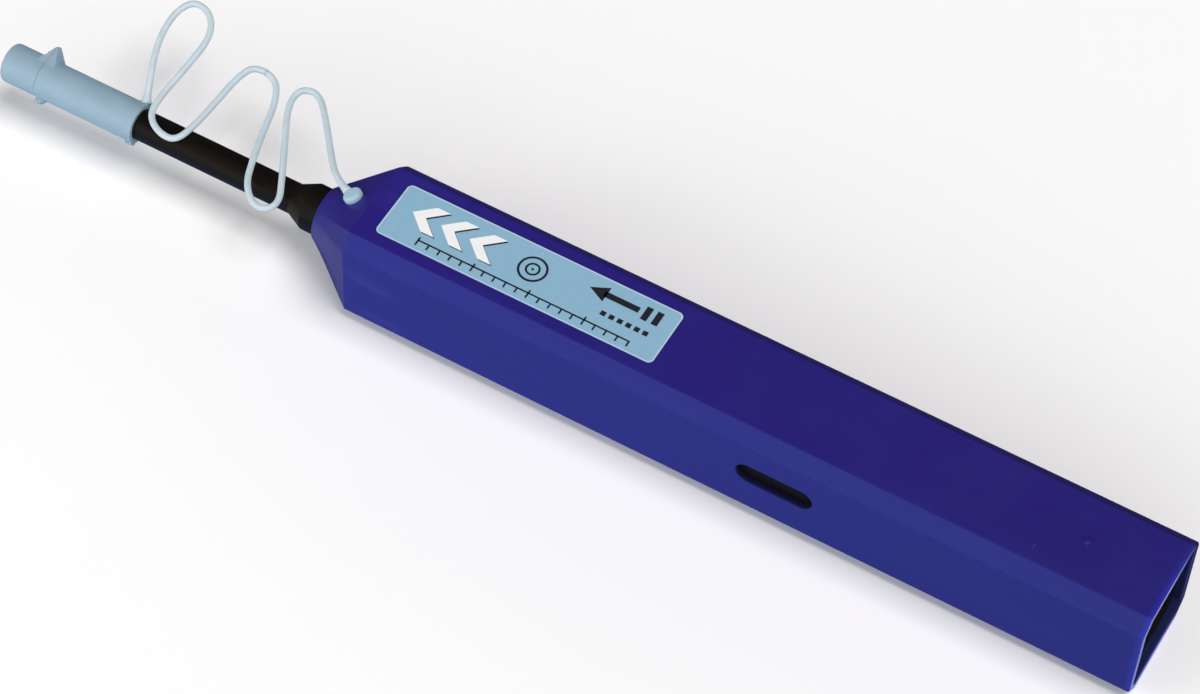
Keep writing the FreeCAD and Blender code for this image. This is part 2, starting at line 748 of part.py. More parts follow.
def make_reel_frame():
    """Far part of the inner frame: a long tray with bosses for the pins and a snap tab."""
    body = new_body("reel_frame")
    flat = "(frame_half - frame_chamfer)"
    cut = "(frame_half - frame_wall)"
    side = "(frame_half - frame_chamfer + frame_wall)"
    section = outline(body, "YZ_Plane", [
        (f"-{cut}", f"-{side}"), (f"-{flat}", "-frame_half"), (flat, "-frame_half"),
        ("frame_half", f"-{flat}"), ("frame_half", flat), (flat, "frame_half"),
        (f"-{flat}", "frame_half"), (f"-{cut}", side),
    ], "frame_front")
    pad(body, section, "frame_rear - frame_front")
    tab = stadium(body, "tab_length", "tab_height", "frame_half + tab_rise")
    pad(body, tab, "tab_rise")
    room = box_outline(
        body, "XZ_Plane", ("cavity_front", f"-{cut}"), ("cavity_rear", cut), f"-{cut}",
    )
    pocket(body, room, f"2 * {cut}")
    for place, height, radius, inner in FRAME_BOSSES:
        boss = circle(body, "XZ_Plane", radius, cut, (place, height))
        pad(body, boss, f"{cut} - ({inner})")
    for place, height, radius in PIN_HOLES:
        hole = circle(body, "XZ_Plane", radius, "0", (place, height))
        pocket(body, hole, "frame_half")

    pocket(body, circle(body, "YZ_Plane", "frame_bore", "cavity_front"), "cavity_front - frame_front")
    passage = box_outline(
        body, "YZ_Plane", ("arm_near - small_edge", f"-{cut}"),
        (cut, "-gear_module * gear_teeth / 2 + gear_addendum + small_edge"), "cavity_front",
    )
    pocket(body, passage, "cavity_front - frame_front")
    pin = circle(body, "XY_Plane", "cam_pin_radius", "frame_half", ("cam_pin_place", "0"))
    pocket(body, pin, "frame_half - cam_pin_bottom")
    panel = box_outline(
        body, "YZ_Plane", ("-panel_half", "-panel_half"), ("panel_half", "panel_half"), "frame_rear",
    )
    pocket(body, panel, "panel_depth")


def make_frame_cover():
    """Near part of the inner frame: a plate with bosses and a snap tab."""
    body = new_body("frame_cover")
    flat = "(frame_half - frame_chamfer)"
    cut = "(frame_half - frame_wall)"
    side = "(frame_half - frame_chamfer + frame_wall)"
    section = outline(body, "YZ_Plane", [
        ("-frame_half", f"-{flat}"), (f"-{cut}", f"-{side}"),
        (f"-{cut}", side), ("-frame_half", flat),
    ], "frame_front")
    pad(body, section, "frame_rear - frame_front")
    tab = stadium(body, "tab_length", "tab_height", "-frame_half")
    pad(body, tab, "tab_rise")
    for place, height, radius, inner in COVER_BOSSES:
        boss = circle(body, "XZ_Plane", radius, inner, (place, height))
        pad(body, boss, f"{inner} + {cut}")
    for place, height, radius in PIN_HOLES:
        hole = circle(body, "XZ_Plane", radius, "-frame_half", (place, height))
        pocket(body, hole, "frame_half")


def make_pins():
    """Steel pins across the frame for the reels and the roller, and the cam pin."""
    across = [
        ("takeup_pin", "pin_radius", "takeup_place", "axis_height"),
        ("supply_pin", "pin_radius", "supply_place", "axis_height"),
        ("roller_pin", "roller_pin_radius", "roller_place", "axis_height + roller_height"),
    ]
    for label, radius, place, height in across:
        pin = turned(label, [
            ("0", "-pin_end"), (radius, "-pin_end"), (radius, "pin_end"), ("0", "pin_end"),
        ], "Y_Axis")
        bind(pin, "Placement.Base.x", place)
        bind(pin, "Placement.Base.z", height)
    body = new_body("cam_pin")
    disc = circle(body, "XY_Plane", "cam_pin_radius", "cam_pin_bottom", ("cam_pin_place", "0"))
    pad(body, disc, "frame_half - cam_pin_bottom")


def make_ratchet_pawl():
    """Sprung finger held under the frame's top wall, beside the ratchet wheel."""
    body = new_body("ratchet_pawl")
    roof = "frame_half - frame_wall"
    pad(body, outline(body, "XZ_Plane", [
        ("pawl_place", roof), ("pawl_place", "pawl_foot"), ("pawl_place + 2", "pawl_foot - 0.3"),
        ("takeup_place - 4", "pawl_tip"), ("takeup_place - 3.75", "pawl_tip + 0.25"),
        ("pawl_place + 2.8", "pawl_foot + 0.4"), ("pawl_place + 2.8", roof),
    ], "-reel_half - pawl_gap"), "pawl_width")


def make_brake_spring():
    """Bowed leaf under the supply reel that keeps the tape taut."""
    body = new_body("brake_spring")
    floor = "frame_wall - frame_half"
    low = [
        ("-brake_half", "0"), ("-brake_foot", "0"), ("-brake_crown", "brake_bow"),
        ("brake_crown", "brake_bow"), ("brake_foot", "0"), ("brake_half", "0"),
    ]
    under = [(f"supply_place + {x}", f"{floor} + {z}") for x, z in low]
    over = [(f"supply_place + {x}", f"{floor} + {z} + brake_thickness") for x, z in reversed(low)]
    pad_both(body, outline(body, "XZ_Plane", under + over), "2 * reel_half")


# ---------------------------------------------------------------- reels, gear and tape

def reel_points(near):
    return [
        ("reel_bore", near), ("reel_flange", near), ("reel_flange", "-reel_inside"),
        ("reel_hub", "-reel_inside"), ("reel_hub", "reel_inside"), ("reel_flange", "reel_inside"),
        ("reel_flange", "reel_half"), ("reel_bore", "reel_half"),
    ]


def make_takeup_reel():
    """Reel that winds up the used tape, with a ratchet wheel on its near side."""
    body = new_body("takeup_reel")
    revolve(body, outline(body, "XY_Plane", reel_points("-reel_half")), "Y_Axis")
    wheel = circle(body, "XZ_Plane", "ratchet_root", "-reel_half")
    pad(body, wheel, "ratchet_width")
    lean = "(360deg / ratchet_teeth)"
    tooth = outline(body, "XZ_Plane", [
        ("0", "ratchet_root - small_edge"), ("0", "ratchet_radius"),
        (f"ratchet_root * sin({lean})", f"ratchet_root * cos({lean})"),
        (f"(ratchet_root - small_edge) * sin({lean})", f"(ratchet_root - small_edge) * cos({lean})"),
    ], "-reel_half")
    ring_pattern(body, pad(body, tooth, "ratchet_width"), "Y_Axis", "ratchet_teeth")
    bore = circle(body, "XZ_Plane", "reel_bore", "-2 * reel_half")
    pocket(body, bore, "2 * reel_half")
    bind(body, "Placement.Base.x", "takeup_place")


def make_supply_reel():
    """Reel that holds the clean tape."""
    body = turned("supply_reel", reel_points("-reel_half"), "Y_Axis")
    bind(body, "Placement.Base.x", "supply_place")


def make_wound_tape():
    for label, wound, place in [
        ("takeup_tape", "takeup_wound", "takeup_place"),
        ("supply_tape", "supply_wound", "supply_place"),
    ]:
        tape = turned(label, [
            ("reel_hub", "-wound_half"), (wound, "-wound_half"),
            (wound, "wound_half"), ("reel_hub", "wound_half"),
        ], "Y_Axis")
        bind(tape, "Placement.Base.x", place)


def make_guide_roller():
    """Flanged roller that leads the clean tape down to the core."""
    body = turned("guide_roller", [
        ("roller_bore", "-roller_half"), ("roller_flange", "-roller_half"),
        ("roller_flange", "-reel_inside"), ("roller_radius", "-reel_inside"),
        ("roller_radius", "reel_inside"), ("roller_flange", "reel_inside"),
        ("roller_flange", "roller_half"), ("roller_bore", "roller_half"),
    ], "Y_Axis")
    bind(body, "Placement.Base.x", "roller_place")
    bind(body, "Placement.Base.z", "axis_height + roller_height")


def tooth_half_angle(radius):
    """Half the angle that an involute gear tooth spans at a radius, in radians."""
    pitch_radius = size_of("gear_module") * size_of("gear_teeth") / 2
    pressure = math.radians(size_of("gear_pressure"))
    base = pitch_radius * math.cos(pressure)
    here = math.acos(min(1.0, base / radius))
    at_pitch = math.pi / (2 * size_of("gear_teeth")) - size_of("gear_backlash") / (2 * pitch_radius)
    return at_pitch + (math.tan(pressure) - pressure) - (math.tan(here) - here)


def make_drive_gear():
    """Gear on the take-up pin that the rack turns."""
    body = new_body("drive_gear")
    pitch_radius = size_of("gear_module") * size_of("gear_teeth") / 2
    root = pitch_radius - size_of("gear_dedendum")
    tip = pitch_radius + size_of("gear_addendum")
    disc = circle(body, "XZ_Plane", "gear_module * gear_teeth / 2 - gear_dedendum", "gear_far")
    pad(body, disc, "gear_far - gear_near")
    hub = circle(body, "XZ_Plane", "gear_hub", "gear_near")
    pad(body, hub, "gear_near - hub_near")

    radii = [root - size_of("small_edge"), (root + pitch_radius) / 2, pitch_radius]
    radii += [(pitch_radius + tip) / 2, tip]
    right = []
    for radius in radii:
        half = tooth_half_angle(radius)
        right.append(FreeCAD.Vector(radius * math.sin(half), -radius * math.cos(half), 0))
    left = [FreeCAD.Vector(-point.x, point.y, 0) for point in reversed(right)]
    corners = right + left
    sketch = new_sketch(body, "XZ_Plane", "gear_far")
    for index, corner in enumerate(corners):
        sketch.addGeometry(Part.LineSegment(corner, corners[(index + 1) % len(corners)]), False)
    tooth = pad(body, sketch, "gear_far - gear_near")
    ring_pattern(body, tooth, "Y_Axis", "gear_teeth")
    bore = circle(body, "XZ_Plane", "reel_bore", "0")
    pocket(body, bore, "gear_far")
    bind(body, "Placement.Base.x", "takeup_place")


def make_tape_runs():
    """The tape between the reels and the core, clean above and used below."""
    start = "core_rear + spring_gap"
    height = "tip_half + tape_gap"
    over = "roller_height + roller_radius + spring_gap"
    clean = new_body("clean_tape_run")
    pad_both(clean, outline(clean, "XZ_Plane", [
        (start, height), ("roller_place", over), ("supply_place", over),
        ("supply_place", f"{over} + tape_thickness"), ("roller_place", f"{over} + tape_thickness"),
        (start, f"{height} + tape_thickness"),
    ]), "2 * tape_half")
    used = new_body("used_tape_run")
    under = "-takeup_wound - spring_gap"
    pad_both(used, outline(used, "XZ_Plane", [
        (start, f"-({height}) - tape_thickness"), ("takeup_place", f"{under} - tape_thickness"),
        ("takeup_place", under), (start, f"-({height})"),
    ]), "2 * tape_half")


# ---------------------------------------------------------------- guide cap and lid

def make_guide_cap():
    """Moulded cap: slides on the nozzle, guides a bare connector onto the tip."""
    body = turned("guide_cap", [
        ("cap_rim", "cap_bore"), ("cap_step", "cap_bore"), ("cap_step", "cap_chamber"),
        ("cap_socket", "cap_chamber"), ("cap_socket", "socket_radius"),
        ("socket_mouth", "socket_radius"), ("cap_end", "mouth_radius"),
        ("cap_end", "cap_spigot - small_edge"), ("cap_end + small_edge", "cap_spigot"),
        ("cap_seam", "cap_spigot"), ("cap_seam", "cap_radius"), ("cap_rim", "cap_radius"),
    ])
    add_ear(body, [
        ("ear_place + ear_gap", "ear_top"), ("ear_place + ear_gap + ear_flat", "ear_top"),
        ("ear_place + ear_reach", "ear_foot"), ("cap_seam", "ear_foot"), ("cap_seam", "cap_radius"),
    ])
    ledge = outline(body, "XZ_Plane", [
        ("cap_seam", "-ledge_foot"), ("cap_seam", "-ledge_top"),
        ("cap_seam + ledge_flat", "-ledge_top"), ("cap_seam + ledge_length", "-ledge_foot"),
    ])
    pad_both(body, ledge, "2 * ledge_half")
    root = box_outline(
        body, "XZ_Plane", ("cap_rim - lug_length", "lug_foot"), ("cap_rim", "lug_top"),
    )
    pad_both(body, root, "2 * lug_half")
    foot = box_outline(
        body, "XZ_Plane", ("cap_rim - lug_length", "-foot_top"), ("cap_rim", "-lug_foot"),
    )
    pad_both(body, foot, "2 * lug_half")
    turn_cap(body)


def add_ear(body, points):
    """One leg of the folded hinge, from its side outline, narrowing towards the ridge."""
    pad_both(body, outline(body, "XZ_Plane", points), "2 * ear_half")
    for side in ("", "-"):
        waste = outline(body, "YZ_Plane", [
            (f"{side}ear_crest", "ear_top"), (f"{side}ear_half", "ear_root"),
            (f"{side}(ear_half + small_edge)", "ear_root"),
            (f"{side}(ear_half + small_edge)", "ear_top + small_edge"),
            (f"{side}ear_crest", "ear_top + small_edge"),
        ], "ear_place + 2 * ear_reach")
        pocket(body, waste, "4 * ear_reach")


def make_cap_lid():
    """Flip lid: a short round cup, hung on the folded hinge."""
    body = turned("cap_lid", [
        ("cap_seam - lid_gap", "0"), ("lid_front", "0"), ("lid_front", "cap_radius"),
        ("cap_seam - lid_gap", "cap_radius"),
    ])
    front = size_of("lid_front")
    round_edges(body, "lid_round", lambda edge: at_height(edge, "x", front))
    add_ear(body, [
        ("ear_place - ear_gap", "ear_top"), ("ear_place - ear_gap - ear_flat", "ear_top"),
        ("ear_place - brow_reach", "brow_top"), ("ear_place - brow_reach", "brow_foot"),
        ("ear_place - strap_reach", "strap_top"), ("ear_place - strap_end", "ear_foot"),
        ("cap_seam - lid_gap", "ear_foot"), ("cap_seam - lid_gap", "cap_radius + lid_gap"),
    ])
    bore = circle(body, "YZ_Plane", "lid_bore", "cap_seam - lid_gap")
    pocket(body, bore, "cap_seam - lid_gap - lid_inside")
    turn_cap(body)


def turn_cap(body):
    """Turn the cap about the pen's axis, so that its ear points up and away."""
    body.Placement.Rotation = FreeCAD.Rotation(FreeCAD.Vector(1, 0, 0), size_of("cap_turn"))


# ---------------------------------------------------------------- checks and files

def check_document():
    for item in doc.Objects:
        if "Invalid" in item.State or "Error" in item.State:
            raise RuntimeError(f"{item.Label} failed: {item.State}")
        if item.TypeId in CUTTING:
            before = item.BaseFeature.Shape.Volume
            if item.Shape.Volume > before - 1e-4:
                raise RuntimeError(f"{item.Label} cuts nothing")


def write_parts():
    os.makedirs("parts", exist_ok=True)
    for item in doc.Objects:
        if item.TypeId == "PartDesign::Body" or item.TypeId == "Part::Feature":
            shape = item.Shape
            if shape.isNull() or not shape.isValid():
                raise RuntimeError(f"{item.Label} has no valid shape")
            shape.exportStep(f"parts/{item.Label}.step")
            print(f"{item.Label}: {len(shape.Solids)} solid, {shape.Volume:.2f} mm3")


def main():
    fill_sheet()
    make_outer_shell()
    make_label()
    make_tether_plug()
    make_tether()
    make_nozzle_tube()
    make_tip_sleeve()
    make_feed_carriage()
    make_retainer_ring()
    make_springs()
    make_core_shaft()
    make_core_tip()
    make_core_tape()
    make_reel_frame()
    make_frame_cover()
    make_pins()
    make_ratchet_pawl()
    make_brake_spring()
    make_takeup_reel()
    make_supply_reel()
    make_wound_tape()
    make_guide_roller()
    make_drive_gear()
    make_tape_runs()
    make_guide_cap()
    make_cap_lid()
    doc.recompute()
    check_document()
    write_parts()


main()
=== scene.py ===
"""Fibre connector cleaning pen: tether, materials, label print, studio and camera.

The pen lies along X with its nozzle towards -X. The camera is on the -Y side, Z points up and the floor
is at Z = 0. Blender works in metres, and MM turns a number of millimetres into metres.
"""

import math

import bpy
from mathutils import Matrix, Vector


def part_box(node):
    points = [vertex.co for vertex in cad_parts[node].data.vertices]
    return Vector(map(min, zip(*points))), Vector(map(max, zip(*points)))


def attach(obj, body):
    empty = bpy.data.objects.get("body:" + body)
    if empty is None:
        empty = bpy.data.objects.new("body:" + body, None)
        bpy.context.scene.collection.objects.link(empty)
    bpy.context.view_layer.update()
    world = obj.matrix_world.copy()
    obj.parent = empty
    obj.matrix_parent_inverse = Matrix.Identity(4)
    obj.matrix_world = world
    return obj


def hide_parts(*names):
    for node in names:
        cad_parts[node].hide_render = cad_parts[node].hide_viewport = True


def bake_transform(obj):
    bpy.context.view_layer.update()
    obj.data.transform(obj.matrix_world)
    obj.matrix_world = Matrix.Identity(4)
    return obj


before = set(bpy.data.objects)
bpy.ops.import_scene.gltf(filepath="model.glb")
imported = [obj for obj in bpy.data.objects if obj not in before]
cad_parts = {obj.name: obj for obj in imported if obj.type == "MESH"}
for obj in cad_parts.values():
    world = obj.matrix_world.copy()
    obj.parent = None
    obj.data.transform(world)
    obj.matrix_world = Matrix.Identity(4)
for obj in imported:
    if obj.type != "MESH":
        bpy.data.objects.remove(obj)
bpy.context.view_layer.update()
MM = 0.001


# ---------------------------------------------------------------- camera

CAMERA_PLACE = Vector((0.17253, -0.31660, 0.50824))
CAMERA_RIGHT = Vector((0.86742, 0.49679, 0.02811))
CAMERA_UP = Vector((-0.41840, 0.69765, 0.58157))
CAMERA_BACK = Vector((0.26931, -0.51622, 0.81301))      # from the pen towards the camera
SENSOR_WIDTH = 36.0
LENS = 116.96


def make_camera():
    """A long lens above the pen's near side and rear end, aimed at the pen's middle."""
    data = bpy.data.cameras.new("camera")
    data.sensor_width = SENSOR_WIDTH
    data.lens = LENS
    data.clip_start = 0.05
    camera = bpy.data.objects.new("camera", data)
    turn = Matrix((CAMERA_RIGHT, CAMERA_UP, CAMERA_BACK)).transposed().to_4x4()
    camera.matrix_world = Matrix.Translation(CAMERA_PLACE) @ turn
    bpy.context.scene.collection.objects.link(camera)
    bpy.context.scene.camera = camera


# ---------------------------------------------------------------- tether

TETHER_RADIUS = 0.55 * MM
TETHER_SIDES = 20

# From inside the cap's lug to the plug's head, in mm: the points of the CAD route, with the first one
# moved into the lug.
TETHER_ROUTE = [
    (-79.55, 2.6, 12.25), (-80.5, 5.3, 14.1), (-82.7, 10.1, 15.2),
    (-83.8, 14.6, 16.2), (-83.7, 18.7, 17.0), (-82.2, 21.6, 17.2),
    (-78.7, 21.0, 17.0), (-76.3, 17.4, 16.2), (-76.8, 10.8, 15.0),
    (-77.6, 4.0, 13.9), (-77.1, 0.0, 13.6), (-74.0, -2.2, 13.5),
    (-70.6, -2.3, 13.5), (-69.7, 1.9, 13.5), (-69.2, 7.6, 13.9),
    (-68.7, 13.2, 14.6), (-67.4, 16.6, 15.0), (-62.9, 16.2, 14.8),
    (-60.7, 12.4, 14.2), (-59.6, 7.3, 13.7), (-57.9, 1.2, 13.5),
    (-56.0, -4.1, 13.3), (-52.1, -7.0, 12.9), (-49.3, -4.6, 13.1),
    (-51.9, 0.5, 13.5), (-55.3, 6.7, 14.0), (-58.6, 12.8, 14.6),
    (-58.4, 16.4, 15.0), (-55.1, 17.0, 15.2), (-50.8, 12.2, 15.4),
    (-46.7, 7.0, 16.0), (-42.8, 2.3, 17.1), (-39.2, 0.5, 17.7),
]
SPLIT = (-65.15, 16.4, 14.9)      # top of the second loop, in mm, where the two halves meet

# How much wider than its radius an end starts, as a share, and over what length that fades.
CAP_FLARE = (0.8, 2.2 * MM)
PLUG_FLARE = (0.5, 3.6 * MM)


def new_mesh(name, verts, faces):
    mesh = bpy.data.meshes.new(name)
    mesh.from_pydata(verts, [], faces)
    mesh.update()
    piece = bpy.data.objects.new(name, mesh)
    bpy.context.scene.collection.objects.link(piece)
    return piece


def route_line():
    """Points along the NURBS line that has the route's points as its control points."""
    curve = bpy.data.curves.new("tether_route", "CURVE")
    curve.dimensions = "3D"
    spline = curve.splines.new("NURBS")
    spline.points.add(len(TETHER_ROUTE) - 1)
    for point, place in zip(spline.points, TETHER_ROUTE):
        point.co = (place[0] * MM, place[1] * MM, place[2] * MM, 1)
    spline.order_u = 3
    spline.use_endpoint_u = True
    spline.resolution_u = 10
    holder = bpy.data.objects.new("tether_route", curve)
    mesh = bpy.data.meshes.new_from_object(holder)
    line = [vertex.co.copy() for vertex in mesh.vertices]
    bpy.data.objects.remove(holder)
    bpy.data.meshes.remove(mesh)
    return line


def flared(line, gain, reach):
    """Radii along a line whose first stretch flares out to meet what it is moulded to."""
    radii = []
    gone = 0.0
    for i, place in enumerate(line):
        if i:
            gone += (place - line[i - 1]).length
        radii.append(TETHER_RADIUS * (1 + gain * max(0.0, 1 - gone / reach) ** 2))
    return radii


def tube(name, line, radii):
    """A closed round tube along a line, with a radius for each point and no twist."""
    verts, faces = [], []
    last = len(line) - 1
    normal = None
    for i, place in enumerate(line):
        ahead = (line[min(i + 1, last)] - line[max(i - 1, 0)]).normalized()
        if normal is None:
            normal = ahead.orthogonal()
        normal = (normal - ahead * normal.dot(ahead)).normalized()
        side = ahead.cross(normal)
        for k in range(TETHER_SIDES):
            turn = 2 * math.pi * k / TETHER_SIDES
            verts.append(place + (normal * math.cos(turn) + side * math.sin(turn)) * radii[i])
    for i in range(last):
        for k in range(TETHER_SIDES):
            a = i * TETHER_SIDES + k
            b = i * TETHER_SIDES + (k + 1) % TETHER_SIDES
            faces.append((a, b, b + TETHER_SIDES, a + TETHER_SIDES))
    faces.append(tuple(reversed(range(TETHER_SIDES))))
    faces.append(tuple(range(last * TETHER_SIDES, (last + 1) * TETHER_SIDES)))
    piece = new_mesh(name, verts, faces)
    for face in piece.data.polygons[:-2]:
        face.use_smooth = True
    return piece


def make_tether():
    """Two halves that meet at the top of the second loop: one runs from the cap, one to the shell."""
    line = route_line()
    split = Vector(SPLIT) * MM
    at = min(range(len(line)), key=lambda i: (line[i] - split).length)
    cap_line = line[:at + 1]
    shell_line = line[at:]
    cap_half = tube("tether_cap_half", cap_line, flared(cap_line, *CAP_FLARE))
    shell_half = tube("tether_shell_half", shell_line, flared(shell_line[::-1], *PLUG_FLARE)[::-1])
    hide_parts("tether")
    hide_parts("tether")
    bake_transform(cap_half)
    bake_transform(shell_half)
    return cap_half, shell_half


# ---------------------------------------------------------------- material nodes

NOISE_SPAN = (0.3, 0.7)                       # most of a noise's values lie between these
MIX_FIRST, MIX_SECOND, MIX_RESULT = 6, 7, 2   # a Mix node's colour sockets
X, Y, Z = range(3)


def shader_of(material):
    return material.node_tree.nodes["Principled BSDF"]


def new_material(name, colour, roughness, **sockets):
    """A material with its shader's own values. Nodes may take over its colour and roughness later."""
    material = bpy.data.materials.new(name)
    material.use_nodes = True
    shader = shader_of(material)
    shader.inputs["Base Color"].default_value = (*colour, 1)
    shader.inputs["Roughness"].default_value = roughness
    for socket, value in sockets.items():
        shader.inputs[socket.replace("_", " ")].default_value = value
    return material


def add_node(material, kind, **sockets):
    node = material.node_tree.nodes.new("ShaderNode" + kind)
    for socket, value in sockets.items():
        node.inputs[socket.replace("_", " ")].default_value = value
    return node


def link(material, source, target):
    material.node_tree.links.new(source, target)


def feed(material, socket, source):
    """Lead a node's output to a socket of the shader."""
    link(material, source, shader_of(material).inputs[socket])


def own_coordinates(material):
    """The piece's own coordinates, in metres."""
    return add_node(material, "TexCoord").outputs["Object"]


def axis_of(material, axis):
    parts = add_node(material, "SeparateXYZ")
    link(material, own_coordinates(material), parts.inputs["Vector"])
    return parts.outputs[axis]


def place_noise(material, scale, stretch=(1, 1, 1), seed=0.0):
    """Noise in the piece's own coordinates. A stretch below 1 draws it out along that axis."""
    mapping = add_node(material, "Mapping", Scale=stretch, Location=(seed, seed, seed))
    noise = add_node(material, "TexNoise", Scale=scale, Detail=3.0)
    link(material, own_coordinates(material), mapping.inputs["Vector"])
    link(material, mapping.outputs["Vector"], noise.inputs["Vector"])
    return noise.outputs["Fac"]


def spread(material, value, low, high, start=NOISE_SPAN[0], end=NOISE_SPAN[1]):
    """Low where the value is at start, high where it is at end, and no further beyond them."""
    node = add_node(material, "MapRange", From_Min=start, From_Max=end, To_Min=low, To_Max=high)
    link(material, value, node.inputs["Value"])
    return node.outputs["Result"]


def math_node(material, operation, *values):
    node = add_node(material, "Math")
    node.operation = operation
    for socket, value in zip(node.inputs, values):
        if isinstance(value, (int, float)):
            socket.default_value = value
        else:
            link(material, value, socket)
    return node.outputs[0]


def product(material, first, second):
    return math_node(material, "MULTIPLY", first, second)


def mix_colours(material, share, first, second, blend="MIX"):
    """The first colour where share is 0. Each colour is a tuple or a node's output."""
    node = add_node(material, "Mix")
    node.data_type = "RGBA"
    node.blend_type = blend
    link(material, share, node.inputs["Factor"])
    for index, value in ((MIX_FIRST, first), (MIX_SECOND, second)):
        if isinstance(value, tuple):
            node.inputs[index].default_value = (*value, 1)
        else:
            link(material, value, node.inputs[index])
    return node.outputs[MIX_RESULT]


def shade(material, share, colour, factor):
    """A colour times a factor where share is 1, and unchanged where it is 0."""
    return mix_colours(material, share, colour, factor, blend="MULTIPLY")


def distance_from(material, axis, middle):
    """Distance from a place on an axis, to either side."""
    return math_node(material, "ABSOLUTE", math_node(material, "SUBTRACT", axis_of(material, axis), middle))


def inside_box(material, low, high, soft):
    """1 inside a box given in mm, fading to 0 over a soft edge. An axis that is None has no limit."""
    result = None
    for axis in (X, Y, Z):
        if low[axis] is None:
            continue
        middle = (low[axis] + high[axis]) / 2 * MM
        half = (high[axis] - low[axis]) / 2 * MM
        away = distance_from(material, axis, middle)
        share = spread(material, away, 1.0, 0.0, half - soft * MM, half)
        result = share if result is None else product(material, result, share)
    return result


def edge_distance(material, low, high, corner):
    """Distance in from the edge of a rectangle with round corners, in X and Y."""
    overs = []
    for axis in (X, Y):
        middle = (low[axis] + high[axis]) / 2
        away = distance_from(material, axis, middle)
        overs.append(math_node(material, "SUBTRACT", away, high[axis] - middle - corner))
    positive = [math_node(material, "MAXIMUM", over, 0.0) for over in overs]
    squares = [product(material, over, over) for over in positive]
    outside = math_node(material, "SQRT", math_node(material, "ADD", *squares))
    inner = math_node(material, "MINIMUM", math_node(material, "MAXIMUM", *overs), 0.0)
    signed = math_node(material, "ADD", outside, inner)
    return math_node(material, "SUBTRACT", corner, signed)


def surface(material, round_edge, grain, grain_size, wave=0.0, wave_size=0.0):
    """Rounded edges, fine moulded grain and slow waviness in the surface's normal, all in mm."""
    normal = None
    if round_edge:
        bevel = add_node(material, "Bevel", Radius=round_edge * MM)
        bevel.samples = 6
        normal = bevel.outputs["Normal"]
    for depth, size, seed in ((wave, wave_size, 3.0), (grain, grain_size, 0.0)):
        if not depth:
            continue
        bump = add_node(material, "Bump", Strength=1.0, Distance=depth * MM)
        link(material, place_noise(material, 1 / (size * MM), seed=seed), bump.inputs["Height"])
        if normal:
            link(material, normal, bump.inputs["Normal"])
        normal = bump.outputs["Normal"]
    feed(material, "Normal", normal)


# ---------------------------------------------------------------- blue shell

SHELL_MEAN = (0.0205, 0.0100, 0.172)
SHELL_CLOUDS = ((0.0200, 0.0096, 0.168), (0.0222, 0.0108, 0.182))
SHELL_GLOSS_TINT = (0.18, 0.58, 1.0, 1)
FLOW_MARK = (0.045, 0.035, 0.26)
LONG_STREAK_FACTOR = (0.84, 0.84, 0.88)
REAR_PAINTED_SHADE = (0.88, 0.86, 0.8)
WORN_PATCH_COLOUR = (0.014, 0.006, 0.098)
NICK_COLOUR = (0.09, 0.08, 0.36)
RIM_PAINTED_LIGHT = (0.022, 0.016, 0.29)
LIP_PAINTED_HIGHLIGHT = (0.32, 0.40, 0.80)
INSIDE_PAINTED_SHADE = (0.007, 0.0025, 0.035)

# Boxes in mm with the width of their soft edge.
BEHIND_TAPER = ((-36, None, None), (-20, None, None), 6)
WORN_PATCH = ((88.7, -8, 19.8), (97.9, 0.5, 20.1), 0.8)
NICK = ((84.35, -5.5, 19.8), (84.65, -4.5, 20.1), 0.14)
SIDE_SLOT_SHADE = ((35, -9.95, 7), (52, 9.95, 15), 0.25)


def moulded_blue(material, low, high):
    """Clouded blue with lengthwise flow marks, strong just behind the taper, and painted shade that darkens
    it to the rear.
    """
    cloud = place_noise(material, 25, (0.6, 1, 1))
    colour = mix_colours(material, spread(material, cloud, 0, 1), *SHELL_CLOUDS)
    streak = place_noise(material, 260, (0.08, 1, 1), seed=5.0)
    flow = product(
        material, spread(material, streak, 0, 0.5, 0.55, 0.75), inside_box(material, *BEHIND_TAPER),
    )
    colour = mix_colours(material, flow, colour, FLOW_MARK)
    long_streak = place_noise(material, 420, (0.015, 1, 1), seed=9.0)
    colour = shade(material, spread(material, long_streak, 0.0, 0.5), colour, LONG_STREAK_FACTOR)
    # Painted shade: the colour darkens towards the rear end, as the light falls off along the pen.
    painted_rear_shade = spread(material, axis_of(material, X), 0.0, 1.0, low[X], high[X])
    return shade(material, painted_rear_shade, colour, REAR_PAINTED_SHADE)


def paint_rim_light(material, colour, rear):
    """Painted light on the near side of the thin rear rim, where light comes through it, and a painted
    highlight on its very lip.
    """
    near = spread(material, axis_of(material, Y), 1.0, 0.0, 0.0, 9 * MM)
    # Painted light: the near side of the rear rim is lighter, as if lit through the thin wall.
    rim = spread(material, axis_of(material, X), 0.0, 1.0, rear - 1.3 * MM, rear - 0.1 * MM)
    colour = mix_colours(material, product(material, rim, near), colour, RIM_PAINTED_LIGHT)
    # Painted highlight along the lip of the near rim.
    lip = spread(material, axis_of(material, X), 0.0, 1.0, rear - 0.12 * MM, rear - 0.02 * MM)
    lip = product(material, product(material, lip, near), 0.85)
    return mix_colours(material, lip, colour, LIP_PAINTED_HIGHLIGHT)


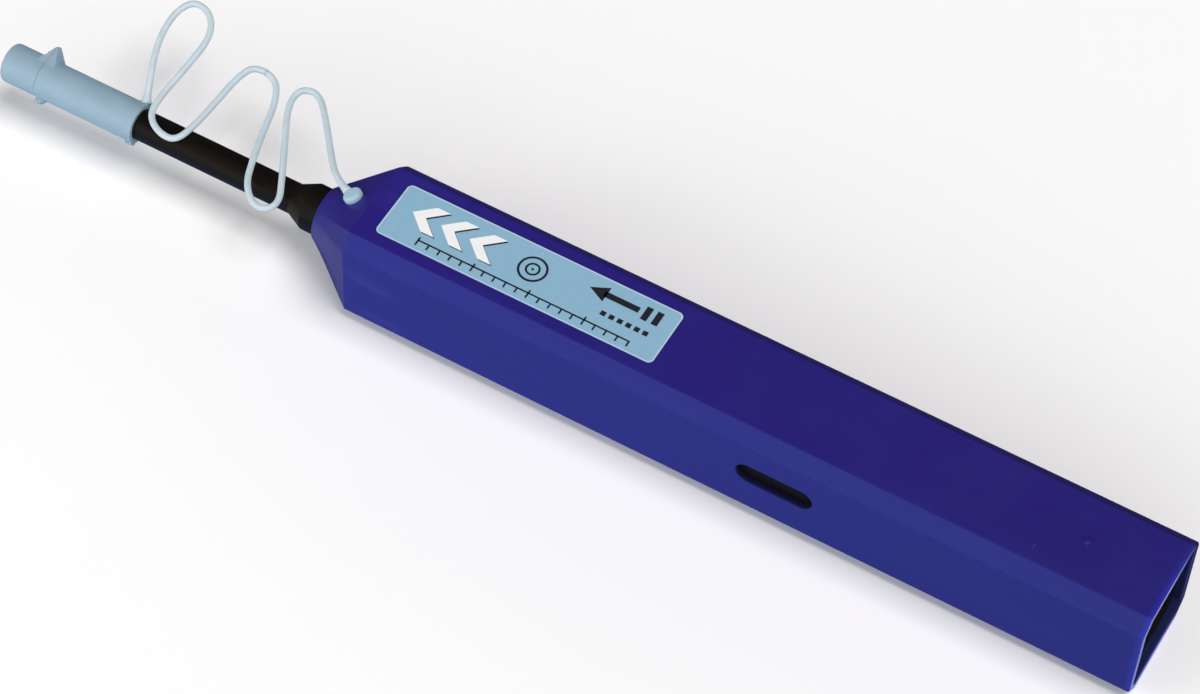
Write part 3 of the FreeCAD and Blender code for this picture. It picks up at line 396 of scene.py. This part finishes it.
def blue_shell():
    """Deep violet-blue moulded plastic, with a worn matte patch and a nick on top, and painted shade on its
    insides and in its side slots.
    """
    material = new_material(
        "blue_shell", SHELL_MEAN, 0.36, Specular_IOR_Level=0.5, Specular_Tint=SHELL_GLOSS_TINT,
    )
    low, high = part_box("outer_shell")
    colour = moulded_blue(material, low, high)
    patch = inside_box(material, *WORN_PATCH)
    colour = mix_colours(material, product(material, patch, 0.7), colour, WORN_PATCH_COLOUR)
    nick = inside_box(material, *NICK)
    colour = mix_colours(material, product(material, nick, 0.6), colour, NICK_COLOUR)
    colour = paint_rim_light(material, colour, high[X])
    # Painted shade: the shell's insides and its side slots are darkened where light doesn't reach.
    room = inside_box(material, (-33, -8.7, 1.3), (high[X] / MM, 8.7, 18.7), 0.08)
    inside = math_node(material, "MAXIMUM", room, inside_box(material, *SIDE_SLOT_SHADE))
    feed(material, "Base Color", mix_colours(material, inside, colour, INSIDE_PAINTED_SHADE))

    rough = spread(material, place_noise(material, 120, seed=2.0), 0.33, 0.42)
    for share, rougher in ((patch, 0.14), (inside, 0.4)):
        rough = math_node(material, "ADD", rough, product(material, share, rougher))
    feed(material, "Roughness", rough)
    surface(material, round_edge=0.35, grain=0.006, grain_size=0.22, wave=0.02, wave_size=9)
    return material


# ---------------------------------------------------------------- other materials

BLACK = (0.0046, 0.0033, 0.0028)
BLACK_GLOSS_TINT = (1.0, 0.82, 0.70, 1)
PALE_BLUE_DEPTHS = (0.4 * MM, 0.6 * MM, 0.9 * MM)      # how far red, green and blue light goes in
CAP_COLOURS = ((0.225, 0.335, 0.415), (0.25, 0.355, 0.435))
PLUG_COLOURS = ((0.27, 0.45, 0.52), (0.36, 0.50, 0.59))
CORD_COLOURS = ((0.44, 0.53, 0.58), (0.49, 0.58, 0.63))
LABEL_MEAN = (0.25, 0.46, 0.63)
LABEL_FIELD = ((0.215, 0.39, 0.52), (0.235, 0.41, 0.545))
LABEL_LINE = (0.46, 0.60, 0.70)
LABEL_CUT = (0.05, 0.06, 0.2)
LABEL_CORNER = 1.0 * MM
TAPE_THREADS = 8000      # squares of the weave to a metre


def black_plastic(name, rough_low, rough_high):
    """Black moulded plastic with lengthwise drawn marks."""
    material = new_material(
        name, BLACK, rough_low, Specular_IOR_Level=0.15, Specular_Tint=BLACK_GLOSS_TINT,
    )
    streak = place_noise(material, 900, (0.06, 1, 1))
    feed(material, "Roughness", spread(material, streak, rough_low, rough_high))
    surface(material, round_edge=0.15, grain=0.004, grain_size=0.3)
    return material


def pale_blue(name, first, second, grain, round_edge=0.15):
    """Soft pale blue plastic that lets a little light through."""
    material = new_material(
        name, first, 0.42, Subsurface_Weight=0.25, Subsurface_Radius=PALE_BLUE_DEPTHS,
        Subsurface_Scale=1.0,
    )
    cloud = place_noise(material, 350)
    feed(material, "Base Color", mix_colours(material, spread(material, cloud, 0, 1), first, second))
    feed(material, "Roughness", spread(material, cloud, 0.38, 0.5))
    surface(material, round_edge, grain, grain_size=0.2)
    return material


def label_film():
    """Printed film: pale blue field, a thin paler line round it and a darker cut edge."""
    material = new_material("label_film", LABEL_MEAN, 0.3)
    inward = edge_distance(material, *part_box("label"), LABEL_CORNER)
    grain = place_noise(material, 1500)
    colour = mix_colours(material, spread(material, grain, 0, 1), *LABEL_FIELD)
    line = spread(material, inward, 1.0, 0.0, 0.16 * MM, 0.34 * MM)
    colour = mix_colours(material, line, colour, LABEL_LINE)
    cut = spread(material, inward, 1.0, 0.0, 0.02 * MM, 0.09 * MM)
    feed(material, "Base Color", mix_colours(material, cut, colour, LABEL_CUT))
    surface(material, round_edge=0, grain=0.002, grain_size=0.5)
    return material


def plain_plastic(name, colour, rough):
    material = new_material(name, colour, rough)
    feed(material, "Roughness", spread(material, place_noise(material, 500), rough - 0.05, rough + 0.08))
    surface(material, round_edge=0.1, grain=0.004, grain_size=0.2)
    return material


def spring_steel():
    material = new_material("spring_steel", (0.55, 0.55, 0.56), 0.28, Metallic=1.0)
    feed(material, "Roughness", spread(material, place_noise(material, 2500), 0.2, 0.36))
    return material


def cleaning_tape():
    """Fine woven cleaning tape."""
    material = new_material("cleaning_tape", (0.8, 0.8, 0.77), 0.85)
    weave = add_node(material, "TexChecker", Scale=TAPE_THREADS)
    link(material, own_coordinates(material), weave.inputs["Vector"])
    bump = add_node(material, "Bump", Distance=0.02 * MM)
    link(material, weave.outputs["Fac"], bump.inputs["Height"])
    feed(material, "Normal", bump.outputs["Normal"])
    return material


def print_ink(name, colour):
    material = new_material(name, colour, 0.35)
    surface(material, round_edge=0, grain=0.002, grain_size=0.4)
    return material


def dress(piece, material):
    """Put a material on all of a piece's slots. It goes on the object, so the mesh stays unchanged."""
    if not piece.material_slots:
        piece.data.materials.append(None)
    for place in piece.material_slots:
        place.link = "OBJECT"
        place.material = material


def make_materials(tether_halves):
    white = plain_plastic("white_plastic", (0.72, 0.72, 0.69), 0.4)
    steel = spring_steel()
    tape = cleaning_tape()
    cap = pale_blue("pale_blue", *CAP_COLOURS, grain=0.004)
    plug = pale_blue("pale_plug", *PLUG_COLOURS, grain=0.004, round_edge=0.5)
    cord = pale_blue("pale_cord", *CORD_COLOURS, grain=0.003)
    nozzle_black = black_plastic("black_nozzle", 0.34, 0.46)
    frame_black = black_plastic("black_frame", 0.42, 0.55)
    chosen = {
        "outer_shell": blue_shell(), "label": label_film(), "tether_plug": plug,
        "nozzle_tube": nozzle_black, "reel_frame": frame_black, "frame_cover": frame_black,
        "guide_cap": cap, "cap_lid": cap,
        "tip_sleeve": plain_plastic("grey_sleeve", (0.2, 0.2, 0.21), 0.35),
    }
    for node in ("takeup_pin", "supply_pin", "roller_pin", "cam_pin"):
        chosen[node] = steel
    for node in ("brake_spring", "return_spring", "tip_spring"):
        chosen[node] = steel
    for node in ("clean_tape_run", "used_tape_run", "core_tape", "takeup_tape", "supply_tape"):
        chosen[node] = tape
    for node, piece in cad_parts.items():
        if node != "tether":
            dress(piece, chosen.get(node, white))
    for piece in tether_halves:
        piece.data.materials.append(cord)


# ---------------------------------------------------------------- flexing pieces

# A node, its slot, and where it leaves the carriage and reaches the shell's parts, in mm along the pen.
FLEXING = (
    ("return_spring", "steel", -31.9, -2.05),
    ("clean_tape_run", "tape", 8.05, 40.0),
    ("used_tape_run", "tape", 8.05, 50.0),
)


def make_flexing():
    """Copies of the return spring and the tape's free runs, which the nozzle squeezes as it slides in; here
    they stay as the CAD drew them.
    """
    for node, slot, front, rear in FLEXING:
        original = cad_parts[node]
        piece = bpy.data.objects.new(node + "_flexing", original.data.copy())
        bpy.context.scene.collection.objects.link(piece)
        dress(piece, original.material_slots[0].material)
        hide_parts(node)
        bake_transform(piece)


# ---------------------------------------------------------------- label print

# All in mm. Heights are above the label's top face.
SHADE_HEIGHT, DARK_HEIGHT, WHITE_HEIGHT = 0.006, 0.010, 0.012
SHADE_OFFSET = (0.28, -0.16)
ARROW_FRONT, ARROW_PITCH, ARROW_MIDDLE = -27.5, 5.2, 0.9
ARROW_REACH, ARROW_WIDTH, ARROW_THICK = 3.0, 5.4, 2.4
FACE_MIDDLE = (-5.6, 0.9)
FACE_RINGS = ((2.5, 2.1), (1.25, 0.9))
RING_STEPS = 40
SCALE_START, SCALE_LENGTH, SCALE_LINE = -24.0, 38.3, 0.3
TICKS, TICK_PITCH, TICK_HEIGHT, FIFTH_TICK_HEIGHT = 20, 2.0, 0.95, 1.7


def bar(x, y, length, height):
    return [(x, y), (x + length, y), (x + length, y + height), (x, y + height)]


def chevron(x, y):
    """An arrow head that points towards the nozzle."""
    back = x + ARROW_REACH
    half = ARROW_WIDTH / 2
    return [
        (x, y), (back, y + half), (back + ARROW_THICK, y + half), (x + ARROW_THICK, y),
        (back + ARROW_THICK, y - half), (back, y - half),
    ]


def ring(x, y, outer, inner):
    """Quads round a ring."""
    turns = [2 * math.pi * i / RING_STEPS for i in range(RING_STEPS + 1)]
    shapes = []
    for start, end in zip(turns, turns[1:]):
        corners = ((inner, start), (outer, start), (outer, end), (inner, end))
        shapes.append([(x + r * math.cos(turn), y + r * math.sin(turn)) for r, turn in corners])
    return shapes


def print_shapes(name, shapes, height, ink):
    """Thin printed shapes on the label, each a list of corners in mm."""
    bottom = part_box("label")[1][Z]
    top = bottom + height * MM
    verts, faces = [], []
    for shape in shapes:
        first = len(verts)
        count = len(shape)
        verts += [(x * MM, y * MM, bottom) for x, y in shape]
        verts += [(x * MM, y * MM, top) for x, y in shape]
        faces.append(tuple(first + i for i in reversed(range(count))))
        faces.append(tuple(first + count + i for i in range(count)))
        for i in range(count):
            j = (i + 1) % count
            faces.append((first + i, first + j, first + count + j, first + count + i))
    piece = new_mesh(name, verts, faces)
    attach(piece, "shell")
    piece.data.materials.append(ink)


def make_label_print():
    """Generic pictograms: push arrows, a ferrule's end face, a stroke scale and a push mark."""
    arrows = [chevron(ARROW_FRONT + ARROW_PITCH * i, ARROW_MIDDLE) for i in range(3)]
    dx, dy = SHADE_OFFSET
    arrow_shades = [[(x + dx, y + dy) for x, y in arrow] for arrow in arrows]

    face = [quad for radii in FACE_RINGS for quad in ring(*FACE_MIDDLE, *radii)]
    face.append(bar(-5.8, 0.7, 0.4, 0.4))
    scale = [bar(SCALE_START, -3.6, SCALE_LENGTH, SCALE_LINE)]
    for i in range(TICKS):
        height = TICK_HEIGHT if i % 5 else FIFTH_TICK_HEIGHT
        scale.append(bar(SCALE_START + TICK_PITCH * i, -4.5, SCALE_LINE, height))
    shaft = bar(6.4, 2.0, 6.2, 1.1)
    head = [(3.8, 2.55), (6.8, 1.05), (6.8, 4.05)]
    stops = [bar(13.4, 1.2, 1.1, 2.7), bar(15.3, 1.2, 1.1, 2.7)]
    dots = [bar(7.6 + 1.5 * i, -1.3, 0.9, 0.9) for i in range(6)]

    white = print_ink("print_white", (0.78, 0.79, 0.80))
    dark = print_ink("print_dark", (0.012, 0.012, 0.02))
    print_shapes("label_print_shade", arrow_shades, SHADE_HEIGHT, dark)
    print_shapes("label_print_white", arrows, WHITE_HEIGHT, white)
    print_shapes("label_print_dark", face + scale + [shaft, head] + stops + dots, DARK_HEIGHT, dark)


# ---------------------------------------------------------------- studio

FLOOR_REACH = 3
BACKDROP_PROFILE = ((2.2, -0.002), (2.6, 0.03), (2.8, 0.13), (2.92, 0.3), (2.96, 0.5), (2.96, 1.6))
BACKDROP_STEPS = 36
BACKDROP_START, BACKDROP_SWEEP = -5, 190      # degrees round from +X, which cover the far side

# The sky's colours as the gloss sees them.
GLOW = (1.28, 1.31, 1.33)      # from the near side
LOW = (0.10, 0.30, 0.72)       # from below the horizon on the near side
ENDS = (0.82, 0.93, 1.0)       # from below the horizon towards the pen's ends
DIM = (0.02, 0.02, 0.02)       # from behind and above


def make_floor():
    """A pale floor, and a pale backdrop that curves up round the far side. Gloss doesn't mirror them."""
    material = new_material("floor", (0.86, 0.86, 0.87), 0.9)
    r = FLOOR_REACH
    floor = new_mesh("floor", [(-r, -r, 0), (r, -r, 0), (r, r, 0), (-r, r, 0)], [(0, 1, 2, 3)])
    verts, faces = [], []
    for reach, height in BACKDROP_PROFILE:
        for i in range(BACKDROP_STEPS + 1):
            turn = math.radians(BACKDROP_START + BACKDROP_SWEEP * i / BACKDROP_STEPS)
            verts.append((reach * math.cos(turn), reach * math.sin(turn), height))
    for row in range(len(BACKDROP_PROFILE) - 1):
        for i in range(BACKDROP_STEPS):
            a = row * (BACKDROP_STEPS + 1) + i
            b = a + BACKDROP_STEPS + 1
            faces.append((a, a + 1, b + 1, b))
    backdrop = new_mesh("backdrop", verts, faces)
    for face in backdrop.data.polygons:
        face.use_smooth = True
    for piece in (floor, backdrop):
        piece.data.materials.append(material)
        piece.visible_glossy = False


def soft_light(name, place, target, size, power):
    """A slightly warm rectangular light that faces its target."""
    data = bpy.data.lights.new(name, "AREA")
    data.shape = "RECTANGLE"
    data.size, data.size_y = size
    data.energy = power
    data.color = (1.0, 0.965, 0.95)
    light = bpy.data.objects.new(name, data)
    light.location = place
    light.rotation_euler = (Vector(target) - Vector(place)).to_track_quat("-Z", "Y").to_euler()
    bpy.context.scene.collection.objects.link(light)
    return light


def make_world():
    """A wide soft glow from the near side, low light under it, and dark behind and above."""
    world = bpy.data.worlds.new("studio")
    bpy.context.scene.world = world
    world.use_nodes = True
    parts = add_node(world, "SeparateXYZ")
    link(world, add_node(world, "TexCoord").outputs["Generated"], parts.inputs["Vector"])
    near = spread(world, parts.outputs["Y"], 1.0, 0.0, -0.3, 0.2)
    not_above = spread(world, parts.outputs["Z"], 1.0, 0.0, 0.55, 0.85)
    below = spread(world, parts.outputs["Z"], 1.0, 0.0, -0.15, 0.0)
    endward = spread(world, math_node(world, "ABSOLUTE", parts.outputs["X"]), 0.0, 1.0, 0.4, 0.6)
    lit = mix_colours(world, below, GLOW, mix_colours(world, endward, LOW, ENDS))
    colour = mix_colours(world, product(world, near, not_above), DIM, lit)
    link(world, colour, world.node_tree.nodes["Background"].inputs["Color"])


def make_studio():
    view = bpy.context.scene.view_settings
    view.view_transform = "Standard"
    view.look = "None"
    make_floor()
    make_world()
    soft_light("overhead", place=(0.8, 0.0, 2.2), target=(0, 0, 0.01), size=(1.2, 1.2), power=41)
    fill = soft_light(
        "left", place=(-0.35, -0.40, 0.20), target=(-0.05, 0, 0.01), size=(0.25, 0.2), power=0.9,
    )
    fill.visible_glossy = False


# ---------------------------------------------------------------- the whole scene


make_camera()
tether_halves = make_tether()
make_materials(tether_halves)
make_flexing()
make_label_print()
make_studio()
